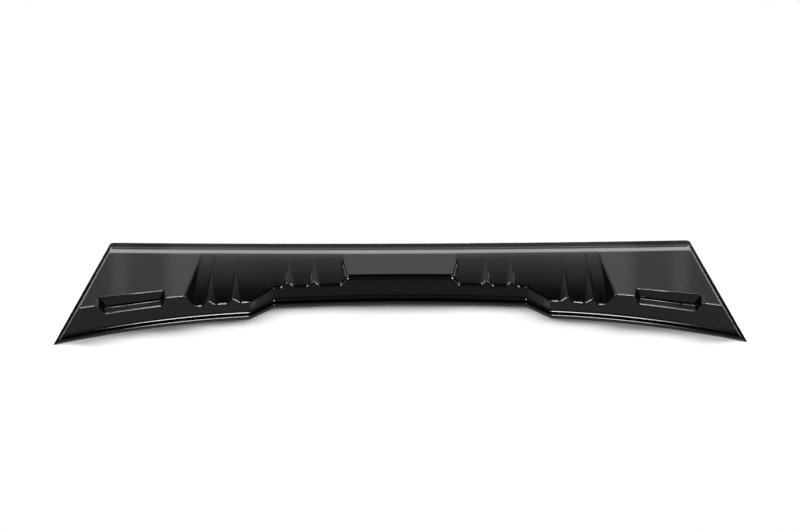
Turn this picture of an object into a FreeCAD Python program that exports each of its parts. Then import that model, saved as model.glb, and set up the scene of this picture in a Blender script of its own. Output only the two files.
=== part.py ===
import FreeCAD, Part
import math
import os

# Rear window visor: one moulded shell of black plastic.
# X runs across the car, +Y points at the leading edge, +Z is up.
# The bonding face lies on Z = 0 and the origin is below the middle of the outline.

# Overall outline
TIP_SPAN = 1300.0
NOSE_SPAN = 1174.0
DEPTH = 278.0
NOSE_BOW = 6.2
WALL = 3.0

# Leading flange, step up to the crest, side flanks and the narrow flange below them
NOSE_HEIGHT = 3.0
LEAD_FLANGE = 12.0
LEAD_RISE = 0.5
RAMP_LENGTH = 58.0
CREST_HEIGHT = 30.0
FLANK_ANGLE = 59.3
SIDE_FLANGE = 10.0
SIDE_FLANGE_ANGLE = 30.0
LAND = 18.0
SIDE_LAND = 14.0

# Trailing edge: set back in the middle, swept along the wings
MIDDLE_HALF = 243.0
WING_ROOT = 287.0
FOOT_MIDDLE = 25.7
FOOT_MIDDLE_BOW = 7.9
FOOT_ROOT = 64.5
FLANGE = 10.0
FOOT_HEIGHT = 10.0
FLANGE_EDGE = 4.0
SWEEP_SHARE = 0.35

# Slopes of the pads and of the rear face
WING_PAD_SLOPE = 7.5
WING_FACE_SLOPE = 63.0
MIDDLE_PAD_SLOPE = 11.0
MIDDLE_FACE_SLOPE = 55.0

# Sunken scallop on each side, with four tapering ridges
SCALLOP_IN = 115.0
SCALLOP_OUT = 391.0
SCALLOP_RADIUS = 666.0
SCALLOP_START_ANGLE = 4.8
SCALLOP_WALL_ANGLE = 48.0
RIDGE_POSITIONS = (168.0, 217.0, 319.0, 366.0)
RIDGE_HEIGHT = 8.0
RIDGE_OUTER_ANGLE = 43.0
RIDGE_INNER_ANGLE = 33.0

# Notch in the rear edge of each outer pad, with a slat in front of a deeper groove
POCKET_IN = 445.0
POCKET_OUT = 564.0
POCKET_SETBACK = 23.8
POCKET_DEPTH = 16.0
POCKET_GROOVE_DEPTH = 22.0
POCKET_SLAT_SETBACK = 7.6
POCKET_SLAT_ANGLE = 75.0
POCKET_WALL_ANGLE = 60.0
POCKET_FLOOR_ANGLE = -2.0
POCKET_OUTER_ANGLE = 58.0
POCKET_INNER_ANGLE = 58.0

# Rounded edges
CREST_ROUND = 30.0
EDGE_ROUND = 3.5
MIDDLE_EDGE_ROUND = 18.0
FOOT_ROUND = 8.0
FLANK_ROUND = 3.0

HALF = TIP_SPAN / 2
NOSE_HALF = NOSE_SPAN / 2
FOOT_TIP = DEPTH / 2 - FLANGE


def tan(angle):
    return math.tan(math.radians(angle))


# Distance from the outline to the flank, measured on the bonding plane
FLANK_INSET = SIDE_FLANGE * (1 - tan(SIDE_FLANGE_ANGLE) / tan(FLANK_ANGLE))


def vec(x, y, z):
    return FreeCAD.Vector(x, y, z)


def nose_y(x):
    return DEPTH / 2 - NOSE_BOW * (1 - (x / NOSE_HALF) ** 2)


def crest_y(x):
    return nose_y(x) - RAMP_LENGTH


def foot_y(x):
    x = abs(x)
    if x <= MIDDLE_HALF:
        return -FOOT_MIDDLE - FOOT_MIDDLE_BOW * (x / MIDDLE_HALF) ** 2
    s = (x - WING_ROOT) / (HALF - WING_ROOT)
    return -FOOT_ROOT - (FOOT_TIP - FOOT_ROOT) * (SWEEP_SHARE * s + (1 - SWEEP_SHARE) * s * s)


def slopes(x):
    if abs(x) <= MIDDLE_HALF:
        return MIDDLE_PAD_SLOPE, MIDDLE_FACE_SLOPE
    return WING_PAD_SLOPE, WING_FACE_SLOPE


def meet(p, a, q, b):
    """Point where the line through p with slope a meets the line through q with slope b."""
    y = (q[1] - p[1] + a * p[0] - b * q[0]) / (a - b)
    return y, p[1] + a * (y - p[0])


def lower(p, a, gap):
    """The point p moved straight down so that its line of slope a moves in by gap."""
    return p[0], p[1] - gap * math.hypot(1, a)


def crease(x, gap=0.0):
    """Rear upper edge of the pad at x, moved inside by gap."""
    pad, face = slopes(x)
    a, b = -tan(pad), tan(face)
    top = lower((crest_y(x), CREST_HEIGHT), a, gap)
    foot = lower((foot_y(x), FOOT_HEIGHT), b, gap)
    return meet(top, a, foot, b)


def outer_profile(x):
    y0, y1 = nose_y(x), foot_y(x)
    edge = MIDDLE_EDGE_ROUND if x <= MIDDLE_HALF else EDGE_ROUND
    return [(y0, -WALL), (y0, NOSE_HEIGHT), (y0 - LEAD_FLANGE, NOSE_HEIGHT + LEAD_RISE, FOOT_ROUND),
            (crest_y(x), CREST_HEIGHT, CREST_ROUND), (*crease(x), edge),
            (y1, FOOT_HEIGHT, FOOT_ROUND), (y1 - FLANGE, FLANGE_EDGE), (y1 - FLANGE, -WALL)]


def inner_profile(x):
    pad, face = slopes(x)
    ramp = -(CREST_HEIGHT - NOSE_HEIGHT - LEAD_RISE) / (RAMP_LENGTH - LEAD_FLANGE)
    a, b = -tan(pad), tan(face)
    crest = (crest_y(x), CREST_HEIGHT)
    ramp_p = lower(crest, ramp, WALL)
    pad_p = lower(crest, a, WALL)
    face_p = lower((foot_y(x), FOOT_HEIGHT), b, WALL)
    y0 = nose_y(x) - LAND
    below = -2 * WALL
    return [(y0, below), (y0, ramp_p[1] + ramp * (y0 - ramp_p[0])),
            meet(ramp_p, ramp, pad_p, a), crease(x, WALL),
            (face_p[0] + (below - face_p[1]) / b, below)]


def section(profile, x):
    """Closed wire at x; a corner that has a third value is rounded to that radius."""
    corners = profile(abs(x))
    stops = []
    for i, corner in enumerate(corners):
        here = vec(x, corner[0], corner[1])
        if len(corner) < 3:
            stops.append((here,))
            continue
        before = vec(x, *corners[i - 1][:2]) - here
        after = vec(x, *corners[(i + 1) % len(corners)][:2]) - here
        half = before.getAngle(after) / 2
        reach = corner[2] / math.tan(half)
        middle = (before.normalize() + after.normalize()).normalize()
        depth = corner[2] / math.sin(half) - corner[2]
        stops.append((here + before * reach, here + middle * depth, here + after * reach))
    edges = []
    for i, stop in enumerate(stops):
        if len(stop) == 3:
            edges.append(Part.Arc(*stop).toShape())
        edges.append(Part.LineSegment(stop[-1], stops[(i + 1) % len(stops)][0]).toShape())
    return Part.Wire(edges)


def stations(start, end, count):
    return [start + (end - start) * i / (count - 1) for i in range(count)]


def body(profile):
    """Full-width solid: middle, the two jogs and the two wings."""
    reach = HALF + WALL / 3
    middle = Part.makeLoft([section(profile, x) for x in stations(-MIDDLE_HALF, MIDDLE_HALF, 5)], True, False)
    solids = []
    for side in (-1, 1):
        jog = [section(profile, side * x) for x in (MIDDLE_HALF, WING_ROOT)]
        wing = [section(profile, side * x) for x in stations(WING_ROOT, reach, 5)]
        solids.append(Part.makeLoft(jog, True, True))
        solids.append(Part.makeLoft(wing, True, False))
    return middle.multiFuse(solids)


def side_prism(side, gap, corners):
    """Prism along one side; each corner is (distance outside the side line, height), moved inside by gap."""
    tip = vec(side * HALF, -DEPTH / 2, 0)
    nose = vec(side * NOSE_HALF, DEPTH / 2, 0)
    along = (nose - tip).normalize()
    out = vec(side * along.y, -side * along.x, 0)
    base = tip - along * DEPTH / 2 - out * gap
    points = [base + out * n + vec(0, 0, z) for n, z in corners]
    return Part.Face(Part.makePolygon(points + points[:1])).extrude(along * 2 * DEPTH)


def side_trim(side, gap, angle):
    """Everything outside a side wall that is moved inside by gap."""
    high, low, far = 3 * CREST_HEIGHT, -3 * WALL, DEPTH
    corners = [(-low / tan(angle), low), (far, low), (far, high), (-high / tan(angle), high)]
    return side_prism(side, gap, corners)


def side_flange(side):
    """Sloped strip along the foot of a side flank."""
    slope, low, reach = tan(SIDE_FLANGE_ANGLE), -3 * WALL, 1.5 * SIDE_FLANGE
    top = SIDE_FLANGE * slope
    return side_prism(side, 0, [(-low / slope, low), (-SIDE_FLANGE, top), (-reach, top), (-reach, low)])


def scallop(side, gap):
    """Region above one scallop, grown by gap for the underside."""
    y0 = crest_y((SCALLOP_IN + SCALLOP_OUT) / 2)
    tilt = math.radians(SCALLOP_START_ANGLE)
    centre = (y0 - SCALLOP_RADIUS * math.sin(tilt), CREST_HEIGHT - SCALLOP_RADIUS * math.cos(tilt))
    radius = SCALLOP_RADIUS - gap
    start, high = 5.0, 4 * CREST_HEIGHT

    def on_arc(degrees):
        t = math.radians(degrees)
        return vec(0, centre[0] + radius * math.sin(t), centre[1] + radius * math.cos(t))

    first = on_arc(SCALLOP_START_ANGLE + start)
    last = on_arc(SCALLOP_START_ANGLE - 5 * start)
    arc = Part.Arc(first, on_arc(SCALLOP_START_ANGLE - 2 * start), last).toShape()
    up = [last, vec(0, last.y, high), vec(0, first.y, high), first]
    face = Part.Face(Part.Wire([arc, Part.makePolygon(up)]))
    slab = face.extrude(vec(side * HALF, 0, 0))
    spread = gap / math.sin(math.radians(SCALLOP_WALL_ANGLE))
    rise = (high - CREST_HEIGHT) / tan(SCALLOP_WALL_ANGLE)
    drop = CREST_HEIGHT / tan(SCALLOP_WALL_ANGLE)
    corners = [(SCALLOP_IN - spread + drop, 0), (SCALLOP_OUT + spread - drop, 0),
               (SCALLOP_OUT + spread + rise, high), (SCALLOP_IN - spread - rise, high)]
    points = [vec(side * x, -DEPTH, z) for x, z in corners]
    trough = Part.Face(Part.makePolygon(points + points[:1])).extrude(vec(0, 2 * DEPTH, 0))
    return slab.common(trough)


def ridge(x, gap):
    """One tapering ridge, lowered by gap for its hollow underside."""
    y0 = crest_y((SCALLOP_IN + SCALLOP_OUT) / 2)
    y1 = foot_y(abs(x)) - FLANGE
    edge = foot_y(abs(x)) + (CREST_HEIGHT - FOOT_HEIGHT) / tan(slopes(abs(x))[1])
    tilt = math.radians(SCALLOP_START_ANGLE)
    drop = gap / math.cos(math.radians(RIDGE_OUTER_ANGLE))
    wires = []
    for u in stations(0.12 * (y0 - y1), y0 - y1, 5):
        t = math.asin((u - SCALLOP_RADIUS * math.sin(tilt)) / SCALLOP_RADIUS)
        floor = CREST_HEIGHT + SCALLOP_RADIUS * (math.cos(t) - math.cos(tilt)) - drop
        top = RIDGE_HEIGHT * (u / (y0 - edge)) ** 2
        root = WALL / 2
        near = math.copysign((top + root) / tan(RIDGE_INNER_ANGLE), x)
        far = math.copysign((top + root) / tan(RIDGE_OUTER_ANGLE), x)
        y, z = y0 - u, floor - root
        points = [vec(x - near, y, z), vec(x, y, floor + top), vec(x + far, y, z)]
        wires.append(Part.makePolygon(points + points[:1]))
    return Part.makeLoft(wires, True, False)


def pocket(side, gap):
    """Notch in the rear edge of an outer pad, grown by gap for the underside."""
    y_in, z_in = crease(POCKET_IN)
    y_out, z_out = crease(POCKET_OUT)
    start, end = vec(side * POCKET_IN, y_in, z_in), vec(side * POCKET_OUT, y_out, z_out)
    along = vec(end.x - start.x, end.y - start.y, 0)
    length = along.Length
    along.normalize()
    back = vec(-side * along.y, side * along.x, 0)
    mid = (start + end) * 0.5
    top = -POCKET_SETBACK * tan(WING_PAD_SLOPE)
    wall = tan(POCKET_WALL_ANGLE)
    wall_out = gap / math.sin(math.radians(POCKET_WALL_ANGLE))
    floor_down = gap / math.cos(math.radians(POCKET_FLOOR_ANGLE))
    edge = POCKET_SLAT_SETBACK - gap
    lean = (POCKET_GROOVE_DEPTH - POCKET_DEPTH) / tan(POCKET_SLAT_ANGLE)
    high, front, deep = CREST_HEIGHT, 2 * POCKET_DEPTH, -POCKET_GROOVE_DEPTH - gap

    def at(b, z):
        return mid - along * length + back * b + vec(0, 0, z)

    def on_wall(z):
        return at(POCKET_SETBACK + wall_out + (z - top) / wall, z)

    def on_floor(b):
        return at(b, -POCKET_DEPTH - floor_down + (b - POCKET_SLAT_SETBACK) * tan(POCKET_FLOOR_ANGLE))

    points = [on_wall(high), on_wall(deep), at(edge + lean, deep),
              on_floor(edge), on_floor(-front), at(-front, high)]
    prism = Part.Face(Part.makePolygon(points + points[:1])).extrude(along * 2 * length)

    def end_at(angle, z):
        return length / 2 + gap / math.sin(math.radians(angle)) + (z - top) / tan(angle)

    low = -2 * POCKET_GROOVE_DEPTH
    ends = [(-end_at(POCKET_INNER_ANGLE, low), low), (end_at(POCKET_OUTER_ANGLE, low), low),
            (end_at(POCKET_OUTER_ANGLE, high), high), (-end_at(POCKET_INNER_ANGLE, high), high)]
    points = [mid + along * s - back * DEPTH / 2 + vec(0, 0, z) for s, z in ends]
    window = Part.Face(Part.makePolygon(points + points[:1])).extrude(back * DEPTH)
    return prism.common(window)


def flank_edges(solid):
    """Edges along the top of both side flanks."""
    found = []
    for side in (-1, 1):
        tip = vec(side * HALF, -DEPTH / 2, 0)
        nose = vec(side * NOSE_HALF, DEPTH / 2, 0)
        along = (nose - tip).normalize()
        slant = math.radians(FLANK_ANGLE)
        out = vec(side * along.y, -side * along.x, 0)
        base = tip - out * FLANK_INSET
        normal = out * math.sin(slant) + vec(0, 0, math.cos(slant))
        for edge in solid.Edges:
            points = edge.discretize(5)
            flat = all(abs((p - base).dot(normal)) < 0.02 for p in points)
            if flat and max(p.z for p in points) > NOSE_HEIGHT + 0.5:
                found.append(edge)
    return found


def build():
    block = body(outer_profile)
    outer = block
    cavity = body(inner_profile)
    flank_gap = FLANK_INSET + WALL / math.sin(math.radians(FLANK_ANGLE))
    for side in (-1, 1):
        outer = outer.cut(side_trim(side, FLANK_INSET, FLANK_ANGLE))
        cavity = cavity.cut(side_trim(side, flank_gap, FLANK_ANGLE)).cut(side_trim(side, SIDE_LAND, 89.9))
    outer = outer.removeSplitter().Solids[0]
    outer = outer.makeFillet(FLANK_ROUND, flank_edges(outer))
    outer = outer.multiFuse([side_flange(side).common(block) for side in (-1, 1)])
    full = outer.copy()
    for side in (-1, 1):
        ridges = [ridge(side * x, 0).common(full) for x in RIDGE_POSITIONS]
        hollows = [ridge(side * x, WALL) for x in RIDGE_POSITIONS]
        outer = outer.cut(scallop(side, 0)).multiFuse(ridges).cut(pocket(side, 0))
        cavity = cavity.cut(scallop(side, WALL)).multiFuse(hollows).cut(pocket(side, WALL))
    # The rim is trimmed flat at the bonding plane
    below = Part.makeBox(2 * TIP_SPAN, 2 * DEPTH, CREST_HEIGHT, vec(-TIP_SPAN, -DEPTH, -CREST_HEIGHT))
    return outer.cut(cavity).cut(below).Solids[0]


os.makedirs("parts", exist_ok=True)
build().exportStep("parts/visor_shell.step")
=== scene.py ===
import math
import bpy
import numpy as np
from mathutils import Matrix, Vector


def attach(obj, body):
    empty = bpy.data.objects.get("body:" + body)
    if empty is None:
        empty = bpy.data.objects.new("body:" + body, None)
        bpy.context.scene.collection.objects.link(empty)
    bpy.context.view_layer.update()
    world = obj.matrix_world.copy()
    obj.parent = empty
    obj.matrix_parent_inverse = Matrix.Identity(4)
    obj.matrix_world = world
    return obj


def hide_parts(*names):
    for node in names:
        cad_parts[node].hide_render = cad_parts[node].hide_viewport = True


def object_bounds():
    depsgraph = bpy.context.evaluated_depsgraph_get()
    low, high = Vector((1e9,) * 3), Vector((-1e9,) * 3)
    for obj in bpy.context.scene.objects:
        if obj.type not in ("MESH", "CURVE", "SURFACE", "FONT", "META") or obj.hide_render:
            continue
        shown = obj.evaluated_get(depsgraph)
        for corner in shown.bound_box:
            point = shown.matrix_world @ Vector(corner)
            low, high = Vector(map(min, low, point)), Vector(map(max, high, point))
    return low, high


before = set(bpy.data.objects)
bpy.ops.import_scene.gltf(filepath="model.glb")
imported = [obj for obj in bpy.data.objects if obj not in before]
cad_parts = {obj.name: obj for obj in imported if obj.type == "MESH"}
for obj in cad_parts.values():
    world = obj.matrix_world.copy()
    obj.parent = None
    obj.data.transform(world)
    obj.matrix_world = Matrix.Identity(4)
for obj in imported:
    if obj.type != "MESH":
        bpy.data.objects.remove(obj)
cad_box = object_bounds()


def box_size(axis):
    """Length of the CAD box along an axis, in millimetres."""
    return round(1000 * (cad_box[1][axis] - cad_box[0][axis]), 3)


# Sizes are in millimetres and degrees in the CAD's frame: x across, y towards the leading edge, z up.
# The visor is symmetric, so each x is a distance from its middle.

# Outline and wall
TIP_SPAN = box_size(0)
DEPTH = box_size(1)
NOSE_SPAN = 1174.0
NOSE_BOW = 6.2
WALL = 3.0
HALF, NOSE_HALF = TIP_SPAN / 2, NOSE_SPAN / 2
REAR, FRONT = -DEPTH / 2, DEPTH / 2

# Flat strip along the leading edge and the slope up to the crest
NOSE_HEIGHT = 3.0
LEAD_FLANGE = 14.0
LEAD_RISE = 0.5
RAMP_LENGTH = 58.0
CREST_HEIGHT = 30.0

# Side flanks, and the flat bonding rim along the nose, the sides and the trailing flange
FLANK_ANGLE = 59.3
SIDE_FLANGE = 10.0
SIDE_FLANGE_ANGLE = 30.0
LAND = 18.0
SIDE_LAND = 14.0
FOOT_LAND = 3.4

# Trailing edge: the set-back middle, the jog and the swept wing, with distances behind y = 0
MIDDLE_HALF = 243.0
WING_ROOT = 287.0
FLANGE = 10.0
FLANGE_EDGE = 4.0
FOOT_HEIGHT = 10.0
FOOT_MIDDLE = 25.7
FOOT_MIDDLE_BOW = 7.9
FOOT_ROOT = 64.5
FOOT_TIP = DEPTH / 2 - FLANGE
SWEEP_SHARE = 0.35
LIP_HEIGHT = 0.6
LIP_SLOPE = 75.0

# Slopes of the pads and of the rear face, on the wings and in the middle
PAD_SLOPE = 7.5
FACE_SLOPE = 63.0
MIDDLE_PAD_SLOPE = 11.0
MIDDLE_FACE_SLOPE = 55.0

# Scallop between the pads, and its ridges
SCALLOP_IN = 115.0
SCALLOP_OUT = 391.0
SCALLOP_RADIUS = 666.0
SCALLOP_START = 4.8
SCALLOP_WALL = 48.0
RIDGES = (168.0, 217.0, 319.0, 366.0)
RIDGE_HEIGHT = 8.0
RIDGE_OUTER = 43.0
RIDGE_INNER = 33.0
RIDGE_TIP = 1.6

# Notch in the rear edge of the wing pad: a slat with a small raised heel, in front of a groove
POCKET_IN = 445.0
POCKET_OUT = 564.0
POCKET_SETBACK = 23.8
POCKET_DEPTH = 16.0
POCKET_GROOVE_DEPTH = 22.0
POCKET_SLAT_SETBACK = 7.6
POCKET_SLAT = 75.0
POCKET_WALL = 60.0
POCKET_FLOOR = -2.0
POCKET_OUTER = 58.0
POCKET_INNER = 58.0
HEEL_WIDTH = 1.9
HEEL_SLOPE = 21.0

# Softness of each kind of edge, as the height over which two faces blend
CREST_SOFT = 1.6
CREASE_SOFT = 4.0
MIDDLE_SOFT = 9.0
MIDDLE_SOFT_REACH = 4.0
MIDDLE_SOFT_FADE = 16.0
FOOT_SOFT = 3.4
LEAD_SOFT = 1.2
FLANK_SOFT = 2.0
SIDE_FLANGE_SOFT = 0.6
LIP_SOFT = 6.0
SCALLOP_SOFT = 2.4
RIDGE_SOFT = 1.2
POCKET_SOFT = 2.2
POCKET_WALL_SOFT = 1.6
GROOVE_SOFT = 1.2
SLAT_SOFT = 0.8
HEEL_SOFT = 0.3
JOG_SOFT = 1.6

# Underside: most that the wall deepens below a steep face, in walls, and the least skin left
STEEPEST_WALL = 2.25
LEAST_SKIN = 0.02

# Room tones from the back horizon, over the top, to the front horizon
ROOM_TONES = [
    (0.0, 1.0), (0.168, 1.0), (0.185, 0.75), (0.235, 0.5), (0.262, 0.34), (0.29, 0.14), (0.31, 0.06),
    (0.33, 0.02), (0.66, 0.02), (0.70, 0.15), (0.76, 0.15), (0.80, 0.05), (0.86, 0.25), (0.95, 0.42),
    (1.0, 0.5),
]
# Tones of the back half from the middle to the sides: a wall of limited width, with dark sides beyond it
SIDE_TONES = [
    (0.0, 0.83), (0.1, 0.83), (0.13, 1.0), (0.168, 1.0), (0.178, 0.6), (0.199, 0.6), (0.203, 0.82),
    (0.211, 0.82), (0.215, 0.55), (0.24, 0.5), (0.5, 0.5), (0.62, 0.03), (1.0, 0.03),
]
ROOM_STRENGTH = 1.1

# Floor in metres: paper near the visor, plain white farther out
FLOOR_REACH = 30.0
PAPER_RADIUS, WHITE_RADIUS = 0.85, 1.5

# Camera, fitted to the photograph's outline
PHOTO_WIDTH = 800.0
FOCAL_PIXELS = 1305.0
SENSOR = 36.0
CAMERA_PLACE = (0.0, -1.7979, 1.7995)
CAMERA_PITCH = 43.924
CAMERA_ROLL = -0.245


def tan(angle):
    return math.tan(math.radians(angle))


def soft_min(a, b, k):
    """The lower of two heights, blended over a band of width k."""
    h = np.clip(k - np.abs(a - b), 0, None) / k
    return np.minimum(a, b) - h * h * k / 4


def soft_max(a, b, k):
    return -soft_min(-a, -b, k)


def nose_y(x):
    return FRONT - NOSE_BOW * (1 - (x / NOSE_HALF) ** 2)


def crest_y(x):
    return nose_y(x) - RAMP_LENGTH


def jog_share(x):
    """0 in the set-back middle, 1 on the wing, with rounded corners at both ends of the jog."""
    s = (np.abs(x) - MIDDLE_HALF) / (WING_ROOT - MIDDLE_HALF)
    k = JOG_SOFT / (WING_ROOT - MIDDLE_HALF)
    return soft_min(soft_max(s, 0 * s, k), 0 * s + 1, k)


def foot_y(x):
    """Foot of the rear face at x."""
    x = np.abs(x)
    inner = np.minimum(x, WING_ROOT)
    middle = -FOOT_MIDDLE - FOOT_MIDDLE_BOW * (inner / MIDDLE_HALF) ** 2
    s = np.clip((x - WING_ROOT) / (HALF - WING_ROOT), -0.2, None)
    wing = -FOOT_ROOT - (FOOT_TIP - FOOT_ROOT) * (SWEEP_SHARE * s + (1 - SWEEP_SHARE) * s * s)
    t = jog_share(x)
    return middle * (1 - t) + wing * t


def face_run(x):
    """Run of the rear face for each millimetre of rise."""
    t = jog_share(x)
    return (1 - t) / tan(MIDDLE_FACE_SLOPE) + t / tan(FACE_SLOPE)


def face_z(x, y):
    return FOOT_HEIGHT + (y - foot_y(x)) / face_run(x)


def pad_z(x, y):
    t = np.clip((np.abs(x) - SCALLOP_IN) / (SCALLOP_OUT - SCALLOP_IN), 0, 1)
    slope = tan(MIDDLE_PAD_SLOPE) * (1 - t) + tan(PAD_SLOPE) * t
    return CREST_HEIGHT + (crest_y(x) - y) * slope


SCALLOP_Y = float(crest_y((SCALLOP_IN + SCALLOP_OUT) / 2))
ARC_Y = SCALLOP_Y - SCALLOP_RADIUS * math.sin(math.radians(SCALLOP_START))
ARC_Z = CREST_HEIGHT - SCALLOP_RADIUS * math.cos(math.radians(SCALLOP_START))


def scallop_floor(y):
    return ARC_Z + np.sqrt(SCALLOP_RADIUS ** 2 - (y - ARC_Y) ** 2)


def scallop_z(x, y):
    x = np.abs(x)
    floor = scallop_floor(y)
    for r in RIDGES:
        edge = foot_y(np.array(r)) + (CREST_HEIGHT - FOOT_HEIGHT) * face_run(np.array(r))
        u = np.clip((SCALLOP_Y - y) / (SCALLOP_Y - edge), 0, None)
        top = scallop_floor(y) + RIDGE_HEIGHT * u ** 2
        slope = np.where(x > r, tan(RIDGE_OUTER), tan(RIDGE_INNER))
        side = slope * (np.sqrt((x - r) ** 2 + RIDGE_TIP ** 2) - RIDGE_TIP)
        floor = soft_max(floor, top - side, RIDGE_SOFT)
    wall = tan(SCALLOP_WALL)
    floor = soft_max(floor, CREST_HEIGHT + (x - SCALLOP_OUT) * wall, SCALLOP_SOFT)
    return soft_max(floor, CREST_HEIGHT + (SCALLOP_IN - x) * wall, SCALLOP_SOFT)


def crease_at(x):
    """Rear upper edge of the wing pad: (y, z)."""
    a, b = -tan(PAD_SLOPE), tan(FACE_SLOPE)
    y0, y1 = float(crest_y(x)), float(foot_y(np.array(x)))
    y = (FOOT_HEIGHT - CREST_HEIGHT + a * y0 - b * y1) / (a - b)
    return y, CREST_HEIGHT + a * (y - y0)


# Middle, length and direction of the notch along the rear edge of the pad
P_IN, P_OUT = crease_at(POCKET_IN), crease_at(POCKET_OUT)
P_LEN = math.hypot(POCKET_OUT - POCKET_IN, P_OUT[0] - P_IN[0])
P_AX, P_AY = (POCKET_OUT - POCKET_IN) / P_LEN, (P_OUT[0] - P_IN[0]) / P_LEN
P_X, P_Y, P_Z = (POCKET_IN + POCKET_OUT) / 2, (P_IN[0] + P_OUT[0]) / 2, (P_IN[1] + P_OUT[1]) / 2
P_TOP = -POCKET_SETBACK * tan(PAD_SLOPE)


def pocket_z(x, y):
    x = np.abs(x)
    s = (x - P_X) * P_AX + (y - P_Y) * P_AY
    b = -(x - P_X) * P_AY + (y - P_Y) * P_AX
    past = b - POCKET_SLAT_SETBACK
    slat = -POCKET_DEPTH + past * tan(POCKET_FLOOR)
    slat = soft_max(slat, -POCKET_DEPTH + (past + HEEL_WIDTH) * tan(HEEL_SLOPE), HEEL_SOFT)
    slat = soft_min(slat, -POCKET_DEPTH - past * tan(POCKET_SLAT), SLAT_SOFT)
    z = soft_max(slat, -POCKET_GROOVE_DEPTH + 0 * b, GROOVE_SOFT)
    z = soft_max(z, P_TOP + (b - POCKET_SETBACK) * tan(POCKET_WALL), POCKET_WALL_SOFT)
    z = soft_max(z, P_TOP + (s - P_LEN / 2) * tan(POCKET_OUTER), POCKET_WALL_SOFT)
    return P_Z + soft_max(z, P_TOP + (-s - P_LEN / 2) * tan(POCKET_INNER), POCKET_WALL_SOFT)


SIDE_LEN = math.hypot(HALF - NOSE_HALF, FRONT - REAR)
SIDE_NX, SIDE_NY = (FRONT - REAR) / SIDE_LEN, (HALF - NOSE_HALF) / SIDE_LEN


def side_x(y):
    """Outline of the side at y."""
    return HALF + (NOSE_HALF - HALF) * (y - REAR) / (FRONT - REAR)


def flank_z(x, y):
    inward = (HALF - np.abs(x)) * SIDE_NX + (REAR - y) * SIDE_NY
    slope = tan(SIDE_FLANGE_ANGLE)
    flank = SIDE_FLANGE * slope + (inward - SIDE_FLANGE) * tan(FLANK_ANGLE)
    return soft_max(inward * slope, flank, SIDE_FLANGE_SOFT)


def ramp_z(x, y):
    """Leading strip and the slope behind it."""
    back = nose_y(x) - y
    low = NOSE_HEIGHT + LEAD_RISE
    ramp = low + (back - LEAD_FLANGE) * (CREST_HEIGHT - low) / (RAMP_LENGTH - LEAD_FLANGE)
    return soft_max(ramp, NOSE_HEIGHT + back * LEAD_RISE / LEAD_FLANGE, LEAD_SOFT)


def outer_z(x, y):
    """Height of the show side at x, y."""
    out = y - foot_y(x) + FLANGE
    flange = FLANGE_EDGE + out * (FOOT_HEIGHT - FLANGE_EDGE) / FLANGE
    rear = soft_max(face_z(x, y), flange, FOOT_SOFT)
    top = soft_min(pad_z(x, y), scallop_z(x, y), SCALLOP_SOFT)
    top = soft_min(top, pocket_z(x, y), POCKET_SOFT)
    top = soft_min(top, ramp_z(x, y), CREST_SOFT)
    centre = np.clip((SCALLOP_IN + MIDDLE_SOFT_REACH - np.abs(x)) / MIDDLE_SOFT_FADE, 0, 1)
    top = soft_min(top, rear, CREASE_SOFT + (MIDDLE_SOFT - CREASE_SOFT) * centre)
    top = soft_min(top, LIP_HEIGHT + out * tan(LIP_SLOPE), LIP_SOFT)
    return np.maximum(soft_min(top, flank_z(x, y), FLANK_SOFT), 0)


def edge_y(x):
    """Rear upper edge at x, where the top meets the rear face, found by halving."""
    lo, hi = foot_y(x), foot_y(x) + 60.0
    for _ in range(30):
        mid = (lo + hi) / 2
        top = np.minimum(np.minimum(pad_z(x, mid), scallop_z(x, mid)), pocket_z(x, mid))
        above = face_z(x, mid) > top
        hi = np.where(above, mid, hi)
        lo = np.where(above, lo, mid)
    return (lo + hi) / 2


def spread(cells, crowd=None):
    """Fractions from 0 to 1, evenly or crowded towards the start or the end."""
    t = np.linspace(0, 1, cells + 1)[:-1]
    if crowd == "start":
        return t ** 2
    if crowd == "end":
        return 1 - (1 - t) ** 2
    return t


def fixed(x):
    return lambda y: x + 0 * y


def inside(d):
    """Line at a distance d inside the outline of the side."""
    return lambda y: side_x(y) - d


def behind(line, d):
    """Line at a distance d behind another."""
    return lambda x: line(x) - d


def wall_top(base, way, d):
    """Top of a scallop wall, d beyond it."""
    def line(y):
        x = base + 0 * y
        for _ in range(20):
            rise = np.clip(pad_z(x, y) - CREST_HEIGHT, 0, 40)
            x = base + way * rise / tan(SCALLOP_WALL)
        return x + way * d
    return line


def wall_foot(base, way, d):
    """Foot of a scallop wall, d short of it."""
    def line(y):
        fall = np.clip(scallop_floor(y) - CREST_HEIGHT, -5, 8)
        return base + way * fall / tan(SCALLOP_WALL) - way * d
    return line


def ridge_lines(r, band, fine, beyond):
    return [(fixed(r - band), fine, "end"), (fixed(r), fine, "start"), (fixed(r + band), beyond)]


def across_notch(s):
    """Line across the notch at s along it. Ahead of the notch it draws in with the side, clear of it."""
    ahead, astern, keep, clear, stagger = 45.0, 35.0, 52.0, 50.0, 0.2

    def line(y):
        near = np.clip(y, P_Y - astern, P_Y + ahead)
        x = P_X + (s - (near - P_Y) * P_AY) / P_AX
        drawn = x * (side_x(y) - keep) / (side_x(near) - keep)
        return np.minimum(drawn, side_x(y) - clear - stagger * (P_LEN / 2 - s))
    return line


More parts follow.
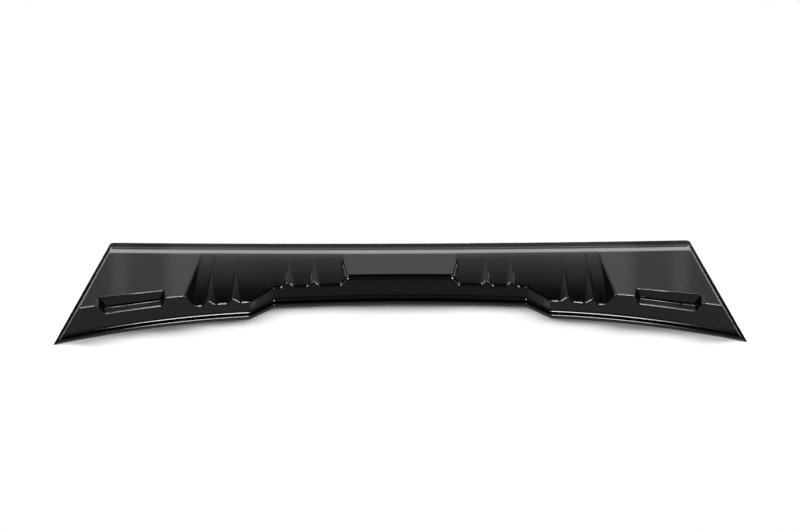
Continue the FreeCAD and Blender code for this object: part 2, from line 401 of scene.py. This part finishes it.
def column_lines():
    """Mesh lines from the middle to the side, as x of y, with cells up to the next and the end to crowd."""
    margin, step = 3.5, 0.4
    lines = [(fixed(0.0), 8), (fixed(80.0), 6, "end"),
             (wall_top(SCALLOP_IN, -1, margin), 7), (wall_foot(SCALLOP_IN, -1, margin), 5)]
    lines += ridge_lines(RIDGES[0], 13.0, 9, 3) + ridge_lines(RIDGES[1], 13.0, 9, 3)
    lines += [(fixed(MIDDLE_HALF - 8), 5), (fixed(MIDDLE_HALF + 6), 6),
              (fixed(WING_ROOT - 6), 5), (fixed(WING_ROOT + 8), 2)]
    lines += ridge_lines(RIDGES[2], 12.0, 8, 3) + ridge_lines(RIDGES[3], 12.0, 8, 2)
    lines += [(wall_foot(SCALLOP_OUT, 1, margin), 8), (wall_top(SCALLOP_OUT, 1, margin), 5)]
    lines += [(across_notch(-P_LEN / 2 - 3), 9), (across_notch(-P_LEN / 2 + 11), 12),
              (across_notch(P_LEN / 2 - 23), 12), (across_notch(P_LEN / 2 + 3), 4)]
    lines += [(inside(46.0), 30), (inside(SIDE_LAND + step), 1), (inside(SIDE_LAND), 4),
              (inside(SIDE_FLANGE + 1.2), 5), (inside(SIDE_FLANGE - 0.6), 4), (side_x, 0)]
    return lines


def row_lines():
    """Mesh lines from the nose to the trailing edge, as y of x, with cells up to the next."""
    step = 0.4
    return [(nose_y, 2), (behind(nose_y, LEAD_FLANGE - 4), 5),
            (behind(nose_y, LAND), 1), (behind(nose_y, LAND + step), 3),
            (behind(crest_y, -7), 8), (behind(crest_y, 7), 13),
            (behind(edge_y, -36), 43), (behind(edge_y, -3.2), 9), (behind(edge_y, 2.2), 9),
            (behind(foot_y, -2.6), 8), (behind(foot_y, 3), 3),
            (behind(foot_y, FLANGE - 2.6), 8), (behind(foot_y, FLANGE), 0)]


def plan_grid():
    """Plan positions of the show side: arrays x, y indexed by row and column, left to right."""
    cols, rows = column_lines(), row_lines()
    stops = [(i, f) for i, (_, *cells) in enumerate(cols[:-1]) for f in spread(*cells)]
    stops.append((len(cols) - 2, 1.0))
    index = np.array([i for i, _ in stops])
    part = np.array([f for _, f in stops])

    def x_on(y):
        values = np.stack([line(y) for line, *_ in cols])
        k = np.arange(len(index))
        return values[index, k] * (1 - part) + values[index + 1, k] * part

    def row(line):
        y = np.zeros(len(index))
        for _ in range(12):
            y = line(x_on(y))
        x = x_on(y)
        return x, line(x)

    feature = [row(line) for line, *_ in rows]
    xs, ys = [], []
    for i, (_, *cells) in enumerate(rows[:-1]):
        for f in spread(*cells):
            xs.append(feature[i][0] * (1 - f) + feature[i + 1][0] * f)
            ys.append(feature[i][1] * (1 - f) + feature[i + 1][1] * f)
    xs.append(feature[-1][0])
    ys.append(feature[-1][1])
    x, y = np.array(xs), np.array(ys)
    return np.hstack([-x[:, :0:-1], x]), np.hstack([y[:, :0:-1], y])


def show_normals(x, y, d=0.05):
    """Exact normals of the show side, from its slopes."""
    gx = (outer_z(x + d, y) - outer_z(x - d, y)) / (2 * d)
    gy = (outer_z(x, y + d) - outer_z(x, y - d)) / (2 * d)
    normal = np.stack([-gx, -gy, 1 + 0 * gx], -1)
    return normal / np.linalg.norm(normal, axis=-1, keepdims=True)


def underside_z(x, y, z, normal):
    """One wall below the show side, with the flat bonding rim left at the bottom."""
    slack = 0.2
    rim = (nose_y(x) - y < LAND + slack) | (side_x(y) - np.abs(x) < SIDE_LAND + slack)
    rim |= y < foot_y(x) - FOOT_HEIGHT * face_run(x) + FOOT_LAND
    drop = WALL * np.minimum(1 / normal[..., 2], STEEPEST_WALL)
    under = np.where(rim, 0.0, np.clip(z - drop, 0, None))
    return np.minimum(under, np.maximum(z - LEAST_SKIN, 0))


def shell_faces(top, low, rows, cols):
    """Faces of the show side, the underside and the walls between, each with its kind."""
    count = rows * cols
    index = np.arange(count).reshape(rows, cols)
    # Points where both sides meet at the knife edge of the flank are shared
    same = np.abs(top[:, 2] - low[:, 2]) < 1e-6
    low_index = np.where(same, np.arange(count), np.arange(count) + count)
    a, b, c, d = index[:-1, :-1], index[1:, :-1], index[1:, 1:], index[:-1, 1:]
    quads_top = np.stack([a, b, c, d], -1).reshape(-1, 4)
    quads_low = low_index[np.stack([a, d, c, b], -1).reshape(-1, 4)]
    rim_path = np.concatenate([index[0, :-1], index[:-1, -1], index[-1, :0:-1], index[:0:-1, 0]])
    following = np.roll(rim_path, -1)
    walls = np.stack([rim_path, following, low_index[following], low_index[rim_path]], -1)
    faces, kinds = [], []
    for kind, group in (("top", quads_top), ("low", quads_low), ("wall", walls)):
        for quad in group.tolist():
            ring = [v for i, v in enumerate(quad) if v != quad[i - 1]]
            if len(set(ring)) == len(ring) and len(ring) >= 3:
                faces.append(ring)
                kinds.append(kind)
    return faces, kinds


def build_visor():
    x, y = plan_grid()
    z = outer_z(x, y)
    normal = show_normals(x, y)
    z[0] = np.minimum(z[0], NOSE_HEIGHT)
    under = underside_z(x, y, z, normal)
    top = np.stack([x, y, z], -1).reshape(-1, 3)
    low = np.stack([x, y, under], -1).reshape(-1, 3)
    faces, kinds = shell_faces(top, low, *x.shape)

    # Mesh in metres, without the points that no face uses
    points = np.vstack([top, low]) / 1000.0
    used = np.unique(np.concatenate([np.array(f) for f in faces]))
    renumber = -np.ones(len(points), int)
    renumber[used] = np.arange(len(used))
    mesh = bpy.data.meshes.new("visor_skin")
    mesh.from_pydata(points[used].tolist(), [], [renumber[np.array(f)].tolist() for f in faces])
    mesh.update()
    mesh.polygons.foreach_set("use_smooth", np.ones(len(mesh.polygons), bool))

    # Exact normals on the show side, plain ones on the rim and underside
    flat_normals = normal.reshape(-1, 3)
    loops = []
    for polygon, kind, ring in zip(mesh.polygons, kinds, faces):
        loops += [flat_normals[v] if kind == "top" else polygon.normal for v in ring]
    mesh.normals_split_custom_set(np.array(loops).tolist())

    obj = bpy.data.objects.new("visor_skin", mesh)
    bpy.context.scene.collection.objects.link(obj)
    return obj


def gloss_black():
    mat = bpy.data.materials.new("gloss_black_moulding")
    mat.use_nodes = True
    nodes, links = mat.node_tree.nodes, mat.node_tree.links
    bsdf = nodes["Principled BSDF"]
    bsdf.inputs["Base Color"].default_value = (0.0015, 0.0015, 0.0016, 1)
    bsdf.inputs["IOR"].default_value = 1.5
    coords = nodes.new("ShaderNodeTexCoord")

    # Faint handling haze varies the polish
    haze = nodes.new("ShaderNodeTexNoise")
    haze.inputs["Scale"].default_value = 9.0
    haze.inputs["Detail"].default_value = 5.0
    polish = nodes.new("ShaderNodeMapRange")
    polish.inputs["From Min"].default_value = 0.35
    polish.inputs["From Max"].default_value = 0.75
    polish.inputs["To Min"].default_value = 0.03
    polish.inputs["To Max"].default_value = 0.06
    links.new(coords.outputs["Object"], haze.inputs["Vector"])
    links.new(haze.outputs["Fac"], polish.inputs["Value"])
    links.new(polish.outputs["Result"], bsdf.inputs["Roughness"])

    # Slight ripple of a moulded surface
    ripple = nodes.new("ShaderNodeTexNoise")
    ripple.inputs["Scale"].default_value = 140.0
    ripple.inputs["Detail"].default_value = 2.0
    bump = nodes.new("ShaderNodeBump")
    bump.inputs["Strength"].default_value = 0.03
    bump.inputs["Distance"].default_value = 0.0005
    links.new(coords.outputs["Object"], ripple.inputs["Vector"])
    links.new(ripple.outputs["Fac"], bump.inputs["Height"])
    links.new(bump.outputs["Normal"], bsdf.inputs["Normal"])
    return mat


def shade(ramp, tones):
    """Set a colour ramp to grey tones at the given places."""
    stops = ramp.color_ramp.elements
    while len(stops) > 1:
        stops.remove(stops[-1])
    stops[0].position = tones[0][0]
    for place, _ in tones[1:]:
        stops.new(place)
    for stop, (_, tone) in zip(stops, tones):
        stop.color = (tone, tone, tone, 1)


def add_room():
    """World: white to the eye, and in reflections a room that is bright low down behind the visor."""
    world = bpy.data.worlds.new("studio")
    bpy.context.scene.world = world
    world.use_nodes = True
    nodes, links = world.node_tree.nodes, world.node_tree.links
    nodes.clear()
    out = nodes.new("ShaderNodeOutputWorld")
    coords = nodes.new("ShaderNodeTexCoord")
    split = nodes.new("ShaderNodeSeparateXYZ")
    links.new(coords.outputs["Generated"], split.inputs["Vector"])

    # Turn from the back horizon (0) to the front horizon (1)
    angle = nodes.new("ShaderNodeMath")
    angle.operation = "ARCTAN2"
    links.new(split.outputs["Z"], angle.inputs[0])
    links.new(split.outputs["Y"], angle.inputs[1])
    turn = nodes.new("ShaderNodeMapRange")
    turn.inputs["From Min"].default_value = 0.0
    turn.inputs["From Max"].default_value = math.pi
    links.new(angle.outputs["Value"], turn.inputs["Value"])
    ramp = nodes.new("ShaderNodeValToRGB")
    links.new(turn.outputs["Result"], ramp.inputs["Fac"])
    shade(ramp, ROOM_TONES)

    # The tones across hold for the back half only
    across = nodes.new("ShaderNodeMath")
    across.operation = "ABSOLUTE"
    links.new(split.outputs["X"], across.inputs[0])
    sides = nodes.new("ShaderNodeValToRGB")
    links.new(across.outputs["Value"], sides.inputs["Fac"])
    shade(sides, SIDE_TONES)
    front = nodes.new("ShaderNodeMapRange")
    front.inputs["From Min"].default_value = 0.45
    front.inputs["From Max"].default_value = 0.55
    links.new(turn.outputs["Result"], front.inputs["Value"])
    width = nodes.new("ShaderNodeMix")
    width.data_type = "RGBA"
    links.new(front.outputs["Result"], width.inputs["Factor"])
    links.new(sides.outputs["Color"], width.inputs[6])
    width.inputs[7].default_value = (1, 1, 1, 1)
    tone = nodes.new("ShaderNodeMix")
    tone.data_type = "RGBA"
    tone.blend_type = "MULTIPLY"
    tone.inputs["Factor"].default_value = 1.0
    links.new(ramp.outputs["Color"], tone.inputs[6])
    links.new(width.outputs[2], tone.inputs[7])

    room = nodes.new("ShaderNodeBackground")
    room.inputs["Strength"].default_value = ROOM_STRENGTH
    links.new(tone.outputs[2], room.inputs["Color"])
    white = nodes.new("ShaderNodeBackground")
    white.inputs["Color"].default_value = (1, 1, 1, 1)
    path = nodes.new("ShaderNodeLightPath")
    mix = nodes.new("ShaderNodeMixShader")
    links.new(path.outputs["Is Camera Ray"], mix.inputs["Fac"])
    links.new(room.outputs["Background"], mix.inputs[1])
    links.new(white.outputs["Background"], mix.inputs[2])
    links.new(mix.outputs["Shader"], out.inputs["Surface"])


def white_paper():
    """Paper that keeps the shadow near the visor, and plain white farther out."""
    paper = bpy.data.materials.new("white_paper")
    paper.use_nodes = True
    nodes, links = paper.node_tree.nodes, paper.node_tree.links
    bsdf = nodes["Principled BSDF"]
    bsdf.inputs["Base Color"].default_value = (0.9, 0.9, 0.9, 1)
    bsdf.inputs["Roughness"].default_value = 0.9
    bsdf.inputs["Specular IOR Level"].default_value = 0.1
    coords = nodes.new("ShaderNodeTexCoord")
    radius = nodes.new("ShaderNodeVectorMath")
    radius.operation = "LENGTH"
    fade = nodes.new("ShaderNodeMapRange")
    fade.interpolation_type = "SMOOTHSTEP"
    fade.inputs["From Min"].default_value = PAPER_RADIUS
    fade.inputs["From Max"].default_value = WHITE_RADIUS
    plain = nodes.new("ShaderNodeEmission")
    blend = nodes.new("ShaderNodeMixShader")
    links.new(coords.outputs["Object"], radius.inputs[0])
    links.new(radius.outputs["Value"], fade.inputs["Value"])
    links.new(fade.outputs["Result"], blend.inputs["Fac"])
    links.new(bsdf.outputs["BSDF"], blend.inputs[1])
    links.new(plain.outputs["Emission"], blend.inputs[2])
    links.new(blend.outputs["Shader"], nodes["Material Output"].inputs["Surface"])
    return paper


def add_floor():
    mesh = bpy.data.meshes.new("floor")
    r = FLOOR_REACH
    mesh.from_pydata([(-r, -r, 0), (r, -r, 0), (r, r, 0), (-r, r, 0)], [], [(0, 1, 2, 3)])
    mesh.materials.append(white_paper())
    floor = bpy.data.objects.new("floor", mesh)
    bpy.context.scene.collection.objects.link(floor)


def area_lamp(name, place, target, size, watts):
    lamp = bpy.data.lights.new(name, "AREA")
    lamp.shape = "RECTANGLE"
    lamp.size, lamp.size_y = size
    lamp.energy = watts
    obj = bpy.data.objects.new(name, lamp)
    obj.location = place
    obj.rotation_euler = (Vector(target) - obj.location).to_track_quat("-Z", "Y").to_euler()
    bpy.context.scene.collection.objects.link(obj)
    return obj


def add_lamps():
    """Lamps, with places and sizes in metres."""
    key = area_lamp("key", place=(0, 13.9, 12.2), target=(0, 0, 0), size=(60.0, 5.2), watts=11900)
    key.visible_glossy = False
    for side in (-1, 1):
        # Soft boxes that only reflections show, for the lines on the foot, the upper edges and the ridges
        foot = area_lamp("foot_strip", place=(side * 0.344, -1.11, 1.12), target=(side * 0.344, 0, 0),
                         size=(0.108, 0.25), watts=3.2)
        edge = area_lamp("edge_strip", place=(side * 0.57, -0.03, 1.0), target=(side * 0.57, -0.03, 0),
                         size=(0.4, 0.14), watts=5.0)
        ridge = area_lamp("ridge_strip", place=(side * 1.03, -2.2, 2.45), target=(side * 0.4, 0, 0),
                          size=(0.85, 0.4), watts=13)
        for strip in (foot, edge, ridge):
            strip.visible_diffuse = False
            strip.visible_camera = False
        # Fill that thins the shadow in front of each tip
        fill = area_lamp("tip_fill", place=(side * 0.76, -0.26, 0.13), target=(side * 0.61, -0.15, 0),
                         size=(0.1, 0.1), watts=0.4)
        fill.visible_glossy = False
        fill.visible_camera = False


def add_camera():
    cam = bpy.data.cameras.new("camera")
    cam.sensor_width = SENSOR
    cam.lens = SENSOR * FOCAL_PIXELS / PHOTO_WIDTH
    obj = bpy.data.objects.new("camera", cam)
    obj.location = CAMERA_PLACE
    obj.rotation_euler = (math.radians(90.0 - CAMERA_PITCH), 0.0, 0.0)
    obj.rotation_euler.rotate_axis("Z", math.radians(CAMERA_ROLL))
    bpy.context.scene.collection.objects.link(obj)
    bpy.context.scene.camera = obj


visor = build_visor()
visor.data.materials.append(gloss_black())
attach(visor, "root")
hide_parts("visor_shell")
bpy.context.scene.view_settings.view_transform = "Standard"
add_room()
add_floor()
add_lamps()
add_camera()
